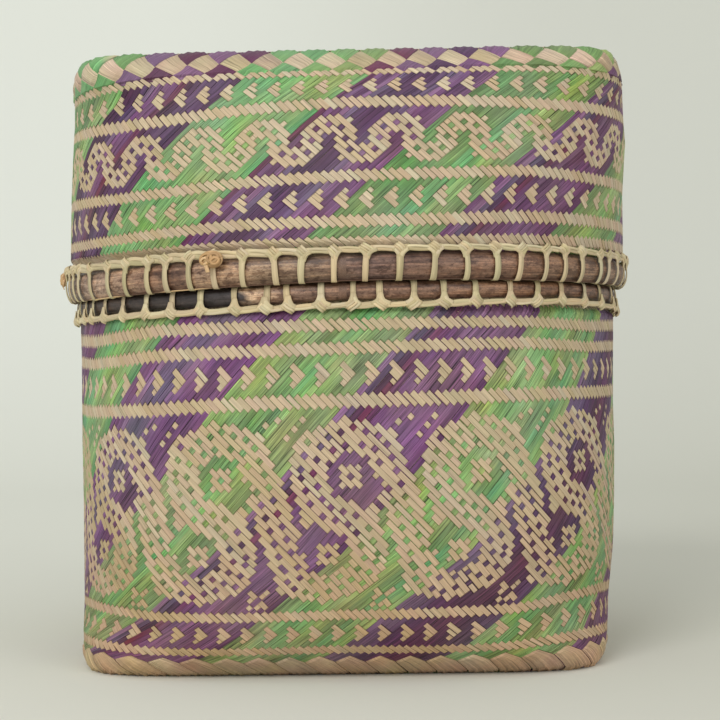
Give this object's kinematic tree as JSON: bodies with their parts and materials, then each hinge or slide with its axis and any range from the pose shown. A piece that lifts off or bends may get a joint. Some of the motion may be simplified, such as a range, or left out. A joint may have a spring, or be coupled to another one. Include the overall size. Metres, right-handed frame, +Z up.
{
  "type": "lidded basket box",
  "caption": "Plaited bamboo storage box with a square-cornered foot, a round mouth and a deep lift-off lid, cane rim hoops lashed on with rattan strip.",
  "frame": {"origin": "middle of the flat foot, on the surface the box stands on", "axes": "+Z up, -Y towards the front, +X to the right seen from the front; the wider side of the foot lies along X"},
  "size_m": [0.2638, 0.2628, 0.2605],
  "materials": {
    "dyed_plait": "matte",
    "plain_plait": "matte",
    "rattan": "satin",
    "knot_rattan": "satin",
    "dark_cane": "satin",
    "brown_cane": "satin"
  },
  "bodies": {
    "box": {"outer_basket": "dyed_plait", "inner_basket": "plain_plait", "neck_binding": "rattan", "body_hoop": "dark_cane", "body_lashing": "rattan"},
    "lid": {"lid_basket": "dyed_plait", "lid_lining": "plain_plait", "lid_hoop": "brown_cane", "lid_splint": "plain_plait", "lid_rim_filler": "rattan", "lid_lashing": "rattan", "ball_knot": "knot_rattan", "end_knot": "knot_rattan"}
  },
  "joints": [
    {"name": "lid_lift", "type": "slide", "parent": "box", "child": "lid", "axis": [0, 0, 1], "range_m": [0, 0.14]}
  ]
}
